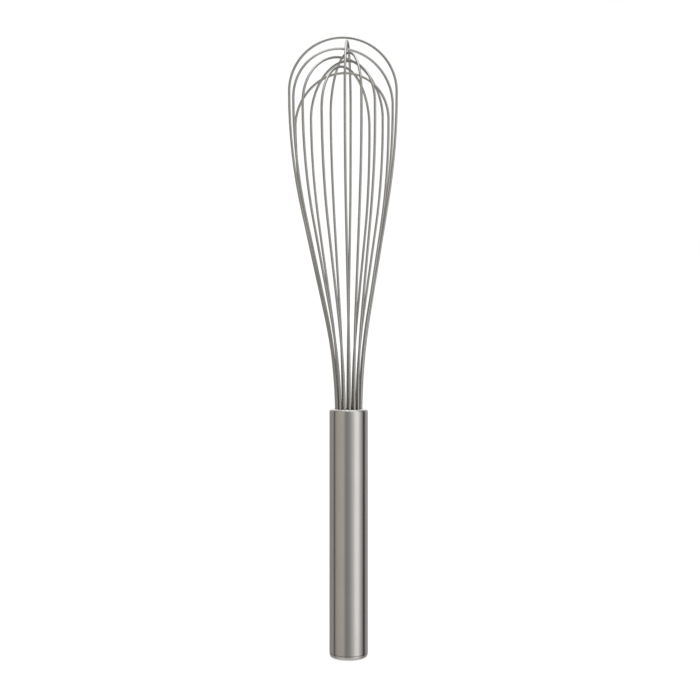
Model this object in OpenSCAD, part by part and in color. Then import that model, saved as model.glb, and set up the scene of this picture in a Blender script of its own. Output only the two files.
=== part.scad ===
// Balloon whisk: a steel tube handle with a pressed end cap, and eight wire
// loops held at the mouth by a drilled ferrule and a plug of sealing resin.
// Millimetres, +Z up along the handle. The origin is the centre of the flat
// butt face, so the whisk stands on its end with the balloon at the top.

/* [Handle] */
// Outside diameter of the handle tube
handle_d = 19; // [19:0.5:24]
// Length of the handle, butt face to mouth
handle_h = 121.5; // [90:0.5:140]
// Wall of the handle tube
tube_wall = 0.8; // [0.6:0.1:1]
// Outer radius of the shoulder turned in at the mouth
shoulder_r = 1.3; // [1.2:0.1:1.6]
// Radius of the side of the end cap, which curves in from the tube to the butt face
cap_curve_r = 4; // [2.5:0.5:6]

/* [Wires] */
// Height of the whole whisk
whisk_h = 305; // [280:5:340]
// Width of the balloon across the outermost loop
balloon_w = 54.2; // [48:0.2:60]
// Wire diameter
wire_d = 1.2; // [1:0.1:1.3]
// Radius of the ring of wires at the mouth
wire_ring_r = 6.15; // [5.8:0.05:6.3]
// Turn of the outermost loop from the X axis, degrees
first_turn = -4.5; // [-10:0.5:10]
// Turn of the ring of holes at the mouth past the even places of the loops, degrees
mouth_twist = 10.5; // [0:0.5:15]
// How far apart the tops of the nested loops sit, as a share of their drops
nest_spread = 1; // [1:0.05:1.3]

/* [Bends] */
// Bend radius where the legs start to flare above the mouth
flare_r = 320; // [250:10:350]
// Bend radius where the legs turn upright again at the widest part
belly_r = 340; // [250:10:400]

/* [Hidden] */
$fn = 96;

steel = [0.72, 0.71, 0.69];
wire_steel = [0.62, 0.61, 0.59];
ferrule_steel = [0.45, 0.45, 0.44];
resin_grey = [0.20, 0.20, 0.21];

slip = 0.05;                       // clearance between parts that slide together
wire_play = 0.1;                   // clearance round a wire in the ferrule
past = 1;                          // how far a cutting shape runs past what it cuts

// The loops from the outermost inwards. They are bent and set by hand, so each
// is a little off an even nest: [turn, drop, reach, lean, sway].
//   turn   degrees away from its even place round the ring
//   drop   how far its top sits below the top of the first loop
//   reach  its half width beside that of the first loop
//   lean   how far it is bent over along its own plane
//   sway   how far it is bent over square to its own plane
nest = [
    [5.5, 0, 0, -2.8, 0],
    [1.5, 3.6, -0.5, -3.4, 0.2],
    [0.5, 5.4, -0.7, -2.1, 1.3],
    [0.5, 8.1, -2.4, 0.9, 1.4],
    [0.5, 10, -0.5, -1.6, 1.7],
    [0.5, 12.1, -2.3, 2.1, 2.6],
    [-1.5, 14.9, -2, -0.2, 1.1],
    [7, 18, -2.1, 2.9, 2.7]
];
leg_pitch = 180 / len(nest);       // even turn from one leg to the next
cross_turn = 90;                   // each second loop is laid across the one before
wire_sides = 12;                   // flats round the wire
most_bend = 0.92;                  // share of a leg's rise that its two bends may take
twist_fade = 0.7;                  // share of a leg's rise over which the twist is lost
bend_steps = 8;                    // stations along each long bend
top_steps = 48;                    // stations over the round top of a loop

tube_r = handle_d / 2;
bore_r = tube_r - tube_wall;
wire_r = wire_d / 2;
mouth_gap = 0.3;                   // open ring between the wires and the lip
mouth_r = wire_ring_r + wire_r + mouth_gap;

cap_band_h = 2;                    // the part of the cap that shows below the tube
cap_skirt_h = 6;
cap_wall = 1;

ferrule_h = 4;
ferrule_drop = 0.4;                // how far the ferrule sits below the shoulder
ferrule_top = handle_h - shoulder_r - ferrule_drop;
ferrule_foot = ferrule_top - ferrule_h;
hole_sides = 24;
resin_h = 22;
resin_foot = ferrule_foot - resin_h;
wire_foot = resin_foot + 3;        // the wires end a little above the foot of the resin
flare_foot = handle_h - 4.5;       // the legs stand straight up to here

// Place and size of one loop. The holes are drilled evenly round the ferrule,
// so the legs of a loop that is set off its even place twist to reach them.
function even_turn(k) = first_turn + leg_pitch * floor(k / 2) + cross_turn * (k % 2);
function loop_turn(k) = even_turn(k) + nest[k][0];
function hole_turn(k) = even_turn(k) + mouth_twist;
function foot_out(k) = wire_ring_r * cos(hole_turn(k) - loop_turn(k));
function foot_aside(k) = wire_ring_r * sin(hole_turn(k) - loop_turn(k));
function cap_r(k) = balloon_w / 2 - wire_r + nest[k][2];
function cap_z(k) = whisk_h - wire_r - nest_spread * nest[k][1] - cap_r(k);
function lean(k) = nest[k][3];
function sway(k) = nest[k][4];

// One leg is a flare bend, a straight stretch and a belly bend that add up to
// the run from the ring at the mouth to the widest part of the loop. A leg
// with far to go sideways has both bends tightened so that they still meet.
function leg_out(k, side) = cap_r(k) + side * lean(k) - foot_out(k);
function leg_rise(k) = cap_z(k) - flare_foot;
function widest_bends(k, side) =
    (leg_out(k, side) ^ 2 + leg_rise(k) ^ 2) / (2 * leg_out(k, side));
function bend_scale(k, side) =
    min(1, most_bend * widest_bends(k, side) / (flare_r + belly_r));
function leg_angle(k, side) =
    let (bends = bend_scale(k, side) * (flare_r + belly_r), across = bends - leg_out(k, side))
    atan2(leg_rise(k), across) - acos(bends / norm([leg_rise(k), across]));

// The line down the middle of one leg, from its foot up to the widest part of
// the loop. Each station is [distance out, height, tilt outwards].
function leg_path(k, side) =
    let (angle = leg_angle(k, side), out = cap_r(k) + side * lean(k),
         flare = flare_r * bend_scale(k, side), belly = belly_r * bend_scale(k, side))
    concat(
        [[foot_out(k), wire_foot, 0]],
        [for (i = [0 : bend_steps])
            let (a = angle * i / bend_steps)
            [foot_out(k) + flare * (1 - cos(a)), flare_foot + flare * sin(a), a]],
        [for (i = [0 : bend_steps - 1])
            let (a = angle * (1 - i / bend_steps))
            [out - belly * (1 - cos(a)), cap_z(k) - belly * sin(a), a]]
    );

// How far a leg stands off the plane of its loop at one height. The twist at
// the mouth fades and the sway grows on the way up to the widest part.
function leg_aside(k, side, z) =
    let (share = max(0, (z - flare_foot) / leg_rise(k)))
    side * foot_aside(k) * max(0, 1 - share / twist_fade) + sway(k) * share;

// The whole loop: up the leg on the -X side, over the top and down the other
// leg. Each station is [x, y, height, heading in the plane of the loop].
function loop_path(k) =
    let (up = leg_path(k, -1), down = leg_path(k, 1), last = len(down) - 1)
    concat(
        [for (p = up) [-p[0], leg_aside(k, -1, p[1]), p[1], 90 + p[2]]],
        [for (i = [0 : top_steps])
            let (a = 180 * (1 - i / top_steps))
            [lean(k) + cap_r(k) * cos(a), sway(k), cap_z(k) + cap_r(k) * sin(a), a - 90]],
        [for (i = [last : -1 : 0])
            let (p = down[i])
            [p[0], leg_aside(k, 1, p[1]), p[1], -90 - p[2]]]
    );

// Round wire swept along a path of [x, y, height, heading] stations
module swept_wire(path) {
    last = len(path) - 1;
    points = [for (p = path)
        for (j = [0 : wire_sides - 1])
            let (a = 360 * j / wire_sides, in_plane = wire_r * cos(a))
            [p[0] - in_plane * sin(p[3]), p[1] + wire_r * sin(a), p[2] + in_plane * cos(p[3])]];
    walls = [for (i = [0 : last - 1])
        for (j = [0 : wire_sides - 1])
            let (n = (j + 1) % wire_sides, here = i * wire_sides, next = here + wire_sides)
            [here + j, here + n, next + n, next + j]];
    start_face = [for (j = [wire_sides - 1 : -1 : 0]) j];
    end_face = [for (j = [0 : wire_sides - 1]) last * wire_sides + j];
    polyhedron(points, concat([start_face], walls, [end_face]));
}

module wire_loop(k) {
    color(wire_steel)
        rotate(loop_turn(k))
            swept_wire(loop_path(k));
}

// Straight holes for all the wire ends
module wire_holes(foot, height, clearance) {
    for (k = [0 : len(nest) - 1])
        for (side = [0, 180])
            rotate(hole_turn(k) + side)
                translate([wire_ring_r, 0, foot])
                    cylinder(r = wire_r + clearance, h = height, $fn = hole_sides);
}

// Half section of the tube: the straight wall, the shoulder and the rolled lip
module tube_section() {
    shoulder_out = tube_r - shoulder_r;
    shoulder_z = handle_h - shoulder_r;
    lip_r = tube_wall / 2;
    translate([bore_r, cap_band_h])
        square([tube_wall, shoulder_z - cap_band_h]);
    translate([shoulder_out, shoulder_z])
        intersection() {
            difference() {
                circle(r = shoulder_r);
                circle(r = shoulder_r - tube_wall);
            }
            square(shoulder_r);
        }
    translate([mouth_r + lip_r, handle_h - tube_wall])
        square([shoulder_out - mouth_r - lip_r, tube_wall]);
    translate([mouth_r + lip_r, handle_h - lip_r])
        circle(r = lip_r);
}

module handle_tube() {
    color(steel)
        rotate_extrude()
            tube_section();
}

// Half section of the end cap below the tube
module cap_band_section() {
    intersection() {
        square([tube_r, cap_band_h]);
        union() {
            square([tube_r - cap_curve_r, cap_band_h]);
            translate([tube_r - cap_curve_r, cap_band_h])
                circle(r = cap_curve_r);
        }
    }
}

module end_cap() {
    skirt_r = bore_r - slip;
    color(steel)
        rotate_extrude()
            difference() {
                union() {
                    cap_band_section();
                    translate([0, cap_band_h - past])
                        square([skirt_r, past + cap_skirt_h]);
                }
                translate([0, cap_band_h])
                    square([skirt_r - cap_wall, cap_skirt_h + past]);
            }
}

module wire_ferrule() {
    color(ferrule_steel)
        difference() {
            translate([0, 0, ferrule_foot])
                cylinder(r = bore_r - slip, h = ferrule_h);
            wire_holes(ferrule_foot - past, ferrule_h + 2 * past, wire_play);
        }
}

module sealing_resin() {
    color(resin_grey)
        difference() {
            translate([0, 0, resin_foot])
                cylinder(r = bore_r - slip, h = resin_h);
            wire_holes(wire_foot, resin_h, slip);
        }
}

handle_tube();
end_cap();
wire_ferrule();
sealing_resin();
wire_loop(0);  // wire_loop_1
wire_loop(1);  // wire_loop_2
wire_loop(2);  // wire_loop_3
wire_loop(3);  // wire_loop_4
wire_loop(4);  // wire_loop_5
wire_loop(5);  // wire_loop_6
wire_loop(6);  // wire_loop_7
wire_loop(7);  // wire_loop_8
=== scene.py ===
"""Balloon whisk in stainless steel, built round the CAD frame.

Everything is in metres. +Z runs up the handle and the camera looks along +Y.
The wires, the handle tube and the end cap are made again here with finer
surfaces in the places the frame gives; the ferrule and the resin are the
frame's own.
"""

import math

import bmesh
import bpy
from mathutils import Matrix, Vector


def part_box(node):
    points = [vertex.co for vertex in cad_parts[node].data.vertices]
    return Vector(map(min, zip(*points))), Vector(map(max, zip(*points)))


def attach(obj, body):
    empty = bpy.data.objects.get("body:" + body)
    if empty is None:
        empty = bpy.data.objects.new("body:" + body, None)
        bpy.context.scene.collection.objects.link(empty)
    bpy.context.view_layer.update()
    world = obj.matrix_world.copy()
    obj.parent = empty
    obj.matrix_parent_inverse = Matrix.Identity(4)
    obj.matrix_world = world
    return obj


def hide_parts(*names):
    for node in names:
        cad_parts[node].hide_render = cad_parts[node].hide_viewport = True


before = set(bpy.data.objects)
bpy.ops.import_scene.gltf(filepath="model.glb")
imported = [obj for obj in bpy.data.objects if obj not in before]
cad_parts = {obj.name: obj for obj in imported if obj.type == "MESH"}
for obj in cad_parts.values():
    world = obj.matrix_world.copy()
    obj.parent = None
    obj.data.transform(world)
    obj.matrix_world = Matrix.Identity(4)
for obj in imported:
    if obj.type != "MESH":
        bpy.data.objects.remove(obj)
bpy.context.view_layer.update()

MM = 0.001
MICRON = 0.000001
MERGE = 20 * MICRON              # closer than this, two points of a mesh are one

# ---- Sizes ------------------------------------------------------------------
# Places come from the boxes of the frame. The rest are sizes that a box doesn't
# give, such as the wall of the tube.
tube_low, tube_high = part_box("handle_tube")
TUBE_R = tube_high[0]
TUBE_TOP = tube_high[2]
CAP_TOP = tube_low[2]            # where the end cap meets the tube
TUBE_WALL = 0.8 * MM
SHOULDER_R = 1.3 * MM            # outer radius of the shoulder at the mouth
MOUTH_R = 7.05 * MM              # radius of the opening inside the rolled lip
CAP_CURVE_R = 4 * MM             # the side of the end cap curves in to the butt face
CAP_SKIRT_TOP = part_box("end_cap")[1][2]
CAP_WALL = 1 * MM
SEAM_HALF = 0.10 * MM            # half the height of the groove at the seam
SEAM_DEPTH = 0.35 * MM
EDGE_WEAR = 0.08 * MM            # how far the edge of the butt face is worn back
SLIP = 0.05 * MM                 # clearance between the cap's skirt and the tube

LATHE_STEPS = 192                # points round the handle
ARC_STEPS = 12                   # stretches in a round part of an outline
WIRE_SIDES = 24
WALL_RINGS = (0.02, 0.5, 0.98)   # rings along the tube wall, which keep its shading flat
FACE_RING = 0.97                 # a ring in the butt face, for the same reason
SHARP = 35                       # degrees; an edge that turns more than this stays sharp
RING_SPAN = 3 * MM               # wider than one wire, narrower than the gap to its other end


# ---- Camera -----------------------------------------------------------------
CAMERA_DISTANCE = 530 * MM
CAMERA_SIDE = 0.66 * MM
CAMERA_HEIGHT = 150.5 * MM
LENS = 55.34                     # millimetres, like the sensor
SENSOR = 36.0


def make_camera():
    """A level camera about half way up the whisk."""
    data = bpy.data.cameras.new("camera")
    data.lens = LENS
    data.sensor_width = SENSOR
    data.clip_start = 10 * MM
    camera = bpy.data.objects.new("camera", data)
    camera.location = (CAMERA_SIDE, -CAMERA_DISTANCE, CAMERA_HEIGHT)
    camera.rotation_euler = (math.radians(90), 0, 0)
    bpy.context.collection.objects.link(camera)
    bpy.context.scene.camera = camera


# ---- Shader helpers ---------------------------------------------------------
def add(tree, kind, inputs=None, **fields):
    """A shader node with its fields set and its inputs filled or linked."""
    node = tree.nodes.new("ShaderNode" + kind)
    for name, value in fields.items():
        setattr(node, name, value)
    for name, value in (inputs or {}).items():
        if isinstance(value, bpy.types.NodeSocket):
            tree.links.new(value, node.inputs[name])
        else:
            node.inputs[name].default_value = value
    return node


def maths(tree, operation, first, second=0.0, clamp=False):
    node = add(tree, "Math", {0: first, 1: second}, operation=operation, use_clamp=clamp)
    return node.outputs[0]


def spread(tree, value, low, high, new_low, new_high):
    """value moved from one range to another, and held inside it."""
    node = add(tree, "MapRange", {
        "Value": value, "From Min": low, "From Max": high, "To Min": new_low, "To Max": new_high})
    return node.outputs["Result"]


def noise(tree, point, scale, detail=3.0, roughness=0.55):
    """Noise from 0 to 1 with its own scale along each axis."""
    stretched = add(tree, "Mapping", {"Vector": point, "Scale": scale})
    made = add(tree, "TexNoise", {
        "Vector": stretched.outputs[0], "Scale": 1.0, "Detail": detail, "Roughness": roughness})
    return made.outputs["Fac"]


def two_colours(tree, share, first, second):
    """A colour between two, by share. The first may be linked from a node."""
    made = add(tree, "Mix", data_type="RGBA")
    tree.links.new(share, made.inputs["Factor"])
    if isinstance(first, bpy.types.NodeSocket):
        tree.links.new(first, made.inputs["A"])
    else:
        made.inputs["A"].default_value = (*first, 1)
    made.inputs["B"].default_value = (*second, 1)
    return made.outputs["Result"]


def bumps(tree, height, distance, below=None):
    """Surface relief that is distance deep, laid over the relief below it."""
    node = add(tree, "Bump", {"Height": height, "Strength": 1.0, "Distance": distance})
    if below is not None:
        tree.links.new(below, node.inputs["Normal"])
    return node.outputs["Normal"]


def new_material(name, metallic):
    material = bpy.data.materials.new(name)
    material.use_nodes = True
    tree = material.node_tree
    shader = tree.nodes["Principled BSDF"]
    shader.inputs["Metallic"].default_value = metallic
    return material, tree, shader


def finish_shader(tree, shader, colour, roughness, normal):
    tree.links.new(colour, shader.inputs["Base Color"])
    tree.links.new(roughness, shader.inputs["Roughness"])
    tree.links.new(normal, shader.inputs["Normal"])


# ---- Materials --------------------------------------------------------------
STEEL = (0.62, 0.60, 0.575)
STEEL_DULL = (0.54, 0.52, 0.495)
WIRE = (0.545, 0.535, 0.515)
WIRE_DULL = (0.44, 0.425, 0.40)
# Painted shade: a dark colour laid on the inner sides of the wires near the mouth, where they
# shade each other
PAINTED_SHADE = (0.26, 0.245, 0.21)
MOUTH_PAINT_H = 30 * MM              # how far above the mouth the wires get painted shade and are painted lighter
MOUTH_PAINT_SHARE = 0.80             # how strong the painted shade and the painted lightening are at the mouth
SHADE_FULL_FACING = -0.5                # a side that faces inwards this much gets the full painted shade,
SHADE_NONE_FACING = 0.05                 # and one that faces this little outwards gets none
WIRE_GLINT = (0.45, 0.45, 0.45)  # tint of the wire at grazing angles
TURNED = (0.40, 0.39, 0.37)
SOIL = (0.16, 0.15, 0.14)
RESIN = (0.035, 0.035, 0.04)
RESIN_CLOUD = (0.075, 0.072, 0.07)
BUTT_SCUFF_H = 7 * MM            # how far up from the butt the handle is scuffed
MOUTH_SCUFF_H = 3 * MM           # and how far down from the mouth
TURNING_PITCH = 7000.0           # tool rings of the ferrule, in noise units to a metre


def satin_steel():
    """Turned and polished tube: fine rings round it, faint ripples along it,
    smudges from handling, and scuffs near both ends."""
    material, tree, shader = new_material("satin_steel", 1.0)
    point = add(tree, "TexCoord").outputs["Object"]
    rings = noise(tree, point, (90, 90, 5200), 2.0)
    lines = noise(tree, point, (1500, 1500, 26), 2.0)
    ripple = noise(tree, point, (330, 330, 16), 1.0)
    smudge = noise(tree, point, (70, 70, 45), 4.0, 0.6)
    scratch = noise(tree, point, (260, 260, 1700), 4.0, 0.7)

    height = add(tree, "SeparateXYZ", {0: point}).outputs["Z"]
    near_butt = spread(tree, height, 0.0, BUTT_SCUFF_H, 1.0, 0.0)
    near_mouth = spread(tree, height, TUBE_TOP - MOUTH_SCUFF_H, TUBE_TOP, 0.0, 0.7)
    ends = maths(tree, "MAXIMUM", near_butt, near_mouth)
    scuffed = spread(tree, scratch, 0.52, 0.66, 0.0, 1.0)
    worn = maths(tree, "MULTIPLY", ends, scuffed)

    handled = spread(tree, smudge, 0.35, 0.7, 0.0, 0.45)
    share = maths(tree, "ADD", maths(tree, "MULTIPLY", worn, 0.5), handled, clamp=True)
    colour = two_colours(tree, share, STEEL, STEEL_DULL)

    rough = spread(tree, smudge, 0.3, 0.7, 0.10, 0.145)
    rough = maths(tree, "ADD", rough, spread(tree, rings, 0.3, 0.7, -0.015, 0.025))
    rough = maths(tree, "ADD", rough, maths(tree, "MULTIPLY", worn, 0.16))
    normal = bumps(tree, ripple, 9 * MICRON)
    normal = bumps(tree, lines, 0.9 * MICRON, normal)
    normal = bumps(tree, rings, 1.6 * MICRON, normal)
    finish_shader(tree, shader, colour, rough, normal)
    shader.inputs["Anisotropic"].default_value = 0.35
    tangent = add(tree, "Tangent", direction_type="RADIAL", axis="Z")
    tree.links.new(tangent.outputs[0], shader.inputs["Tangent"])
    return material


def drawn_wire():
    """Bright drawn wire: die lines along it and a little wear. Near the mouth
    painted shade darkens the inner sides, where the wires shade each other,
    and the dull wear fades out, so the wires are painted lighter there."""
    material, tree, shader = new_material("drawn_wire", 1.0)
    coord = add(tree, "TexCoord")
    along = coord.outputs["UV"]
    point = coord.outputs["Object"]
    die_lines = noise(tree, along, (5200, 45, 1), 2.0)
    wear = noise(tree, along, (300, 130, 1), 4.0, 0.65)
    cloud = noise(tree, point, (55, 55, 40), 3.0, 0.6)

    parts = add(tree, "SeparateXYZ", {0: point})
    from_axis = add(tree, "CombineXYZ", {"X": parts.outputs["X"], "Y": parts.outputs["Y"]})
    outward = add(tree, "VectorMath", {0: from_axis.outputs[0]}, operation="NORMALIZE")
    normals = {0: add(tree, "NewGeometry").outputs["Normal"], 1: outward.outputs["Vector"]}
    facing = add(tree, "VectorMath", normals, operation="DOT_PRODUCT").outputs["Value"]
    # painted shade: the inner sides of the wires near the mouth are darkened, where the wires
    # shade each other
    facing_in = spread(tree, facing, SHADE_FULL_FACING, SHADE_NONE_FACING, 1.0, 0.0)
    mouth_paint_top = TUBE_TOP + MOUTH_PAINT_H
    near_mouth = spread(tree, parts.outputs["Z"], TUBE_TOP, mouth_paint_top, MOUTH_PAINT_SHARE, 0.0)
    painted_shade = maths(tree, "MULTIPLY", facing_in, near_mouth)
    share = spread(tree, wear, 0.42, 0.68, 0.0, 0.5)
    share = maths(tree, "ADD", share, spread(tree, cloud, 0.4, 0.7, 0.0, 0.45), clamp=True)
    # painted light: the dull wear fades out near the mouth, so the wires there are lighter, in
    # place of their highlights
    share = maths(tree, "MULTIPLY", share, maths(tree, "SUBTRACT", 1.0, near_mouth))
    clean = two_colours(tree, share, WIRE, WIRE_DULL)
    colour = two_colours(tree, painted_shade, clean, PAINTED_SHADE)

    rough = spread(tree, wear, 0.35, 0.7, 0.15, 0.24)
    rough = maths(tree, "ADD", rough, spread(tree, die_lines, 0.3, 0.7, -0.02, 0.04))
    finish_shader(tree, shader, colour, rough, bumps(tree, die_lines, 1.2 * MICRON))
    shader.inputs["Specular Tint"].default_value = (*WIRE_GLINT, 1)
    return material


def turned_steel():
    """Dark turned face of the ferrule, with rings left by the tool."""
    material, tree, shader = new_material("turned_steel", 1.0)
    point = add(tree, "TexCoord").outputs["Object"]
    parts = add(tree, "SeparateXYZ", {0: point})
    flat = add(tree, "CombineXYZ", {"X": parts.outputs["X"], "Y": parts.outputs["Y"]})
    out = add(tree, "VectorMath", {0: flat.outputs[0]}, operation="LENGTH").outputs["Value"]
    place = maths(tree, "MULTIPLY", out, TURNING_PITCH)
    settings = {"W": place, "Scale": 1.0, "Detail": 1.0}
    rings = add(tree, "TexNoise", settings, noise_dimensions="1D").outputs["Fac"]
    soil = noise(tree, point, (420, 420, 420), 4.0, 0.65)
    colour = two_colours(tree, spread(tree, soil, 0.4, 0.65, 0.0, 1.0), TURNED, SOIL)
    rough = spread(tree, soil, 0.35, 0.7, 0.3, 0.5)
    finish_shader(tree, shader, colour, rough, bumps(tree, rings, 6 * MICRON))
    return material


def cast_resin():
    """Dark potting resin with a soft skin."""
    material, tree, shader = new_material("cast_resin", 0.0)
    point = add(tree, "TexCoord").outputs["Object"]
    skin = noise(tree, point, (500, 500, 500), 3.0)
    cloud = noise(tree, point, (120, 120, 120), 3.0)
    colour = two_colours(tree, cloud, RESIN, RESIN_CLOUD)
    rough = spread(tree, cloud, 0.3, 0.7, 0.28, 0.42)
    finish_shader(tree, shader, colour, rough, bumps(tree, skin, 25 * MICRON))
    return material


# ---- Studio -----------------------------------------------------------------
# Soft light and dark cards stand in a ring round the whisk. Each entry is a
# turn from the camera, positive to its right, and how bright the ring is there.
LIGHT_RING = [
    (-180, 0.46), (-150, 0.38), (-112, 0.40), (-103, 0.40), (-97, 0.12), (-91, 0.12),
    (-84, 0.42), (-60, 0.54), (-32, 0.57), (-25, 0.47), (-20, 0.32), (-2, 0.33),
    (12, 0.48), (30, 0.80), (42, 1.18), (58, 1.20), (76, 0.64), (90, 0.34),
    (97, 0.08), (111, 0.08), (119, 0.44), (150, 0.48), (180, 0.46),
]
WARM_SIDE = (-90, -22)           # the ring is a little warmer between these turns
WARM = (1.04, 0.985, 0.90)
PLAIN = (1, 1, 1)
LOW_RING = 0.88                  # the ring fades to this share low down,
LOW_RING_FROM = -0.30            # where its direction dips this much
OVERHEAD = 2.1
OVERHEAD_BACK = 25               # degrees that the overhead light stands behind the whisk
OVERHEAD_EDGE = 0.32             # it starts at this height, as a share of straight up,
OVERHEAD_FULL = 0.95             # and is full at this one
OVERHEAD_SIDES = (0.18, 0.50)    # it fades between these shares of straight sideways,
OVERHEAD_PAST = 0.12             # and this much of it is left past them
UNDER = 0.72
UNDER_FULL = -0.85               # the light from below is full at this height,
UNDER_EDGE = -0.35               # and ends at this one


def ring_colour(turn, bright):
    """Colour of the ring at one turn, a little warmer on one side."""
    tints = WARM if WARM_SIDE[0] < turn < WARM_SIDE[1] else PLAIN
    return [bright * tint for tint in tints] + [1]


def laid_over(tree, base, share, bright):
    """White light of one brightness laid over the base by share."""
    mixed = add(tree, "Mix", {"Factor": share}, data_type="RGBA")
    tree.links.new(base, mixed.inputs["A"])
    mixed.inputs["B"].default_value = (bright, bright, bright, 1)
    return mixed.outputs["Result"]


def make_world():
    """A ring of soft light and dark cards, a light overhead and one below."""
    world = bpy.data.worlds.new("studio")
    bpy.context.scene.world = world
    world.use_nodes = True
    tree = world.node_tree
    tree.nodes.clear()
    parts = add(tree, "SeparateXYZ", {0: add(tree, "TexCoord").outputs["Generated"]})
    toward = maths(tree, "MULTIPLY", parts.outputs["Y"], -1.0)
    turn = maths(tree, "ARCTAN2", parts.outputs["X"], toward)
    ramp = add(tree, "ValToRGB", {"Fac": spread(tree, turn, -math.pi, math.pi, 0.0, 1.0)})
    stops = ramp.color_ramp.elements
    stops.remove(stops[1])
    for i, (angle, bright) in enumerate(LIGHT_RING):
        place = (angle + 180) / 360
        stop = stops[0] if i == 0 else stops.new(place)
        stop.position = place
        stop.color = ring_colour(angle, bright)
    low = spread(tree, parts.outputs["Z"], LOW_RING_FROM, 0.0, LOW_RING, 1.0)
    ring = add(tree, "VectorMath", {0: ramp.outputs["Color"], "Scale": low}, operation="SCALE")

    back = math.radians(OVERHEAD_BACK)
    height = maths(tree, "ADD", maths(tree, "MULTIPLY", parts.outputs["Z"], math.cos(back)),
                   maths(tree, "MULTIPLY", parts.outputs["Y"], math.sin(back)))
    aside = maths(tree, "ABSOLUTE", parts.outputs["X"])
    up = maths(tree, "MULTIPLY", spread(tree, height, OVERHEAD_EDGE, OVERHEAD_FULL, 0.0, 1.0),
               spread(tree, aside, *OVERHEAD_SIDES, 1.0, OVERHEAD_PAST))
    down = spread(tree, parts.outputs["Z"], UNDER_FULL, UNDER_EDGE, 1.0, 0.0)
    light = laid_over(tree, ring.outputs["Vector"], up, OVERHEAD)
    light = laid_over(tree, light, down, UNDER)
    glow = add(tree, "Background", {"Color": light})
    out = add(tree, "OutputWorld")
    tree.links.new(glow.outputs[0], out.inputs["Surface"])


# ---- Meshes -----------------------------------------------------------------
def mesh_object(name, bm, material):
    """A smooth-shaded object in the scene from a finished bmesh."""
    mesh = bpy.data.meshes.new(name)
    bm.to_mesh(mesh)
    bm.free()
    for face in mesh.polygons:
        face.use_smooth = True
    mesh.materials.append(material)
    obj = bpy.data.objects.new(name, mesh)
    bpy.context.collection.objects.link(obj)
    return obj


def turned(name, profile, material, closed=True):
    """A solid of revolution round Z from (radius, height) points. A closed
    profile joins its last point to its first."""
    bm = bmesh.new()
    rings = []
    for r, z in profile:
        count = LATHE_STEPS if r > 0 else 1
        turns = [2 * math.pi * j / LATHE_STEPS for j in range(count)]
        rings.append([bm.verts.new((r * math.cos(a), r * math.sin(a), z)) for a in turns])
    pairs = list(zip(rings, rings[1:]))
    if closed:
        pairs.append((rings[-1], rings[0]))
    for a, b in pairs:
        for j in range(LATHE_STEPS):
            n = (j + 1) % LATHE_STEPS
            corners = [a[j % len(a)], b[j % len(b)], b[n % len(b)], a[n % len(a)]]
            corners = list(dict.fromkeys(corners))
            if len(corners) > 2:
                bm.faces.new(corners)
    bmesh.ops.recalc_face_normals(bm, faces=bm.faces)
    return mesh_object(name, bm, material)


def arc(centre_r, centre_z, radius, start, end):
    """Points of a round stretch of a profile, with its turns in degrees."""
    points = []
    for i in range(ARC_STEPS + 1):
        a = math.radians(start + (end - start) * i / ARC_STEPS)
        points.append((centre_r + radius * math.cos(a), centre_z + radius * math.sin(a)))
    return points


def make_tube():
    """The handle tube, with a lower edge that slopes in to the groove at the
    seam, a shoulder turned in at the mouth and a rolled lip."""
    inner = TUBE_R - TUBE_WALL
    shoulder_out = TUBE_R - SHOULDER_R
    shoulder_z = TUBE_TOP - SHOULDER_R
    lip_r = TUBE_WALL / 2
    profile = [(inner, CAP_TOP), (TUBE_R - SEAM_DEPTH, CAP_TOP), (TUBE_R, CAP_TOP + SEAM_HALF)]
    profile += [(TUBE_R, CAP_TOP + (shoulder_z - CAP_TOP) * share) for share in WALL_RINGS]
    profile += arc(shoulder_out, shoulder_z, SHOULDER_R, 0, 90)
    profile += arc(MOUTH_R + lip_r, TUBE_TOP - lip_r, lip_r, 90, 270)
    profile += arc(shoulder_out, shoulder_z, SHOULDER_R - TUBE_WALL, 90, 0)
    tube = turned("handle_shell", profile, MATERIALS["handle_steel"])
    keep_edges(tube)
    return tube


def make_cap():
    """The end cap: a side that curves in to the butt face, a worn edge round
    the face, and a skirt up inside the tube."""
    skirt_r = TUBE_R - TUBE_WALL - SLIP
    centre_r = TUBE_R - CAP_CURVE_R
    face_turn = -math.degrees(math.asin(CAP_TOP / CAP_CURVE_R))
    side = arc(centre_r, CAP_TOP, CAP_CURVE_R, face_turn, 0)
    face_r = side[0][0]
    profile = [(0, 0), (face_r * FACE_RING, 0), (face_r - EDGE_WEAR, 0)] + side[1:-1]
    profile += [(TUBE_R, CAP_TOP - SEAM_HALF), (TUBE_R - SEAM_DEPTH, CAP_TOP), (skirt_r, CAP_TOP)]
    profile += [(skirt_r, CAP_SKIRT_TOP), (skirt_r - CAP_WALL, CAP_SKIRT_TOP)]
    profile += [(skirt_r - CAP_WALL, CAP_TOP), (0, CAP_TOP)]
    cap = turned("end_cap_disc", profile, MATERIALS["handle_steel"], closed=False)
    keep_edges(cap)
    return cap


def keep_edges(obj):
    """Hard corners stay sharp and round stretches stay smooth."""
    bm = bmesh.new()
    bm.from_mesh(obj.data)
    for edge in bm.edges:
        edge.smooth = edge.calc_face_angle(0.0) < math.radians(SHARP)
    bm.to_mesh(obj.data)
    bm.free()


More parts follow.
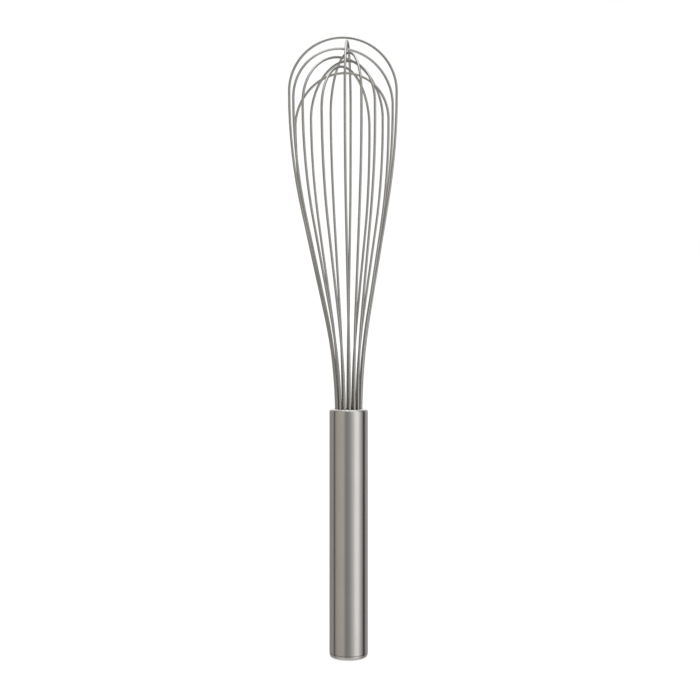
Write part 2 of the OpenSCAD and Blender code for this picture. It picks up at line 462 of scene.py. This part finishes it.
def centre_line(node):
    """The line down the middle of a CAD wire and its radius.

    The CAD wire is a sweep of even rings, so each ring is one step further
    along the mesh than the one before, from the ring at a cut end."""
    bm = bmesh.new()
    bm.from_mesh(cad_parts[node].data)
    bmesh.ops.remove_doubles(bm, verts=bm.verts, dist=MERGE)
    start = min(bm.verts, key=lambda v: (round(v.co.z / MERGE), v.co.x))
    ring = [v for v in bm.verts
            if abs(v.co.z - start.co.z) < MERGE and (v.co - start.co).length < RING_SPAN]
    seen = set(ring)
    line = []
    while ring:
        middle = sum((v.co for v in ring), Vector()) / len(ring)
        line.append(middle)
        if len(line) == 1:
            radius = max((v.co - middle).length for v in ring)
        following = [edge.other_vert(v) for v in ring for edge in v.link_edges]
        ring = [v for v in dict.fromkeys(following) if v not in seen]
        seen.update(ring)
    bm.free()
    return line, radius


def make_wire(name, node):
    """Round wire along the centre line of a CAD wire, with its UVs in metres
    round and along it."""
    line, radius = centre_line(node)
    bm = bmesh.new()
    across = None
    rings = []
    run = [0.0]
    for i, middle in enumerate(line):
        ahead = line[min(i + 1, len(line) - 1)]
        behind = line[max(i - 1, 0)]
        heading = (ahead - behind).normalized()
        if across is None:
            across = heading.orthogonal()
        across = (across - heading * across.dot(heading)).normalized()
        third = heading.cross(across)
        if i:
            run.append(run[-1] + (middle - line[i - 1]).length)
        turns = [2 * math.pi * j / WIRE_SIDES for j in range(WIRE_SIDES)]
        rings.append([
            bm.verts.new(middle + radius * (across * math.cos(a) + third * math.sin(a)))
            for a in turns])
    places = bm.loops.layers.uv.new("along")
    around = 2 * math.pi * radius / WIRE_SIDES
    for i in range(len(rings) - 1):
        for j in range(WIRE_SIDES):
            n = (j + 1) % WIRE_SIDES
            face = bm.faces.new((rings[i][j], rings[i][n], rings[i + 1][n], rings[i + 1][j]))
            corners = ((j, i), (j + 1, i), (j + 1, i + 1), (j, i + 1))
            for loop, (side, station) in zip(face.loops, corners):
                loop[places].uv = (side * around, run[station])
    bm.faces.new(list(reversed(rings[0])))
    bm.faces.new(rings[-1])
    bmesh.ops.recalc_face_normals(bm, faces=bm.faces)
    return mesh_object(name, bm, MATERIALS["wire_steel"])


# ---- Floor ------------------------------------------------------------------
FLOOR_R = 1600 * MM              # radius of its flat part
RIM_R = 600 * MM                 # radius of the curve up into the backdrop
WALL_TOP = 3000 * MM
FLOOR_GREY = (0.19, 0.19, 0.19)
FLOOR_GRAIN = (0.21, 0.21, 0.21)
FLOOR_GLOW = 0.80
WHITE = (1, 1, 1, 1)


def white_table():
    """A pale table lit from within, with a faint grain."""
    material, tree, shader = new_material("white_table", 0.0)
    point = add(tree, "TexCoord").outputs["Object"]
    grain = noise(tree, point, (60, 60, 60), 2.0)
    colour = two_colours(tree, grain, FLOOR_GREY, FLOOR_GRAIN)
    tree.links.new(colour, shader.inputs["Base Color"])
    shader.inputs["Roughness"].default_value = 0.9
    shader.inputs["Emission Color"].default_value = WHITE
    shader.inputs["Emission Strength"].default_value = FLOOR_GLOW
    return material


def make_floor():
    """The table curves up into a backdrop all the way round. The steel
    doesn't mirror it, only the ring of light behind it."""
    profile = [(0, 0)] + arc(FLOOR_R, RIM_R, RIM_R, -90, 0) + [(FLOOR_R + RIM_R, WALL_TOP)]
    floor = turned("floor", profile, white_table(), closed=False)
    floor.visible_glossy = False
    floor.visible_shadow = False


# ---- Assembly ---------------------------------------------------------------
MATERIALS = {
    "handle_steel": satin_steel(),
    "wire_steel": drawn_wire(),
    "ferrule_steel": turned_steel(),
    "resin": cast_resin(),
}


def stands_for(obj, node):
    """obj is shown in place of a CAD node, which is hidden."""
    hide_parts(node)
    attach(obj, "root")


def dress(node, slot):
    """A CAD node that is shown as it is, in its own material."""
    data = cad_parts[node].data
    data.materials.clear()
    data.materials.append(MATERIALS[slot])


make_camera()
make_world()
make_floor()
stands_for(make_tube(), "handle_tube")
stands_for(make_cap(), "end_cap")
for node in sorted(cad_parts):
    if node.startswith("wire_loop"):
        stands_for(make_wire(node.replace("wire_", "bent_"), node), node)
dress("wire_ferrule", "ferrule_steel")
dress("sealing_resin", "resin")

bpy.context.scene.view_settings.view_transform = "Standard"
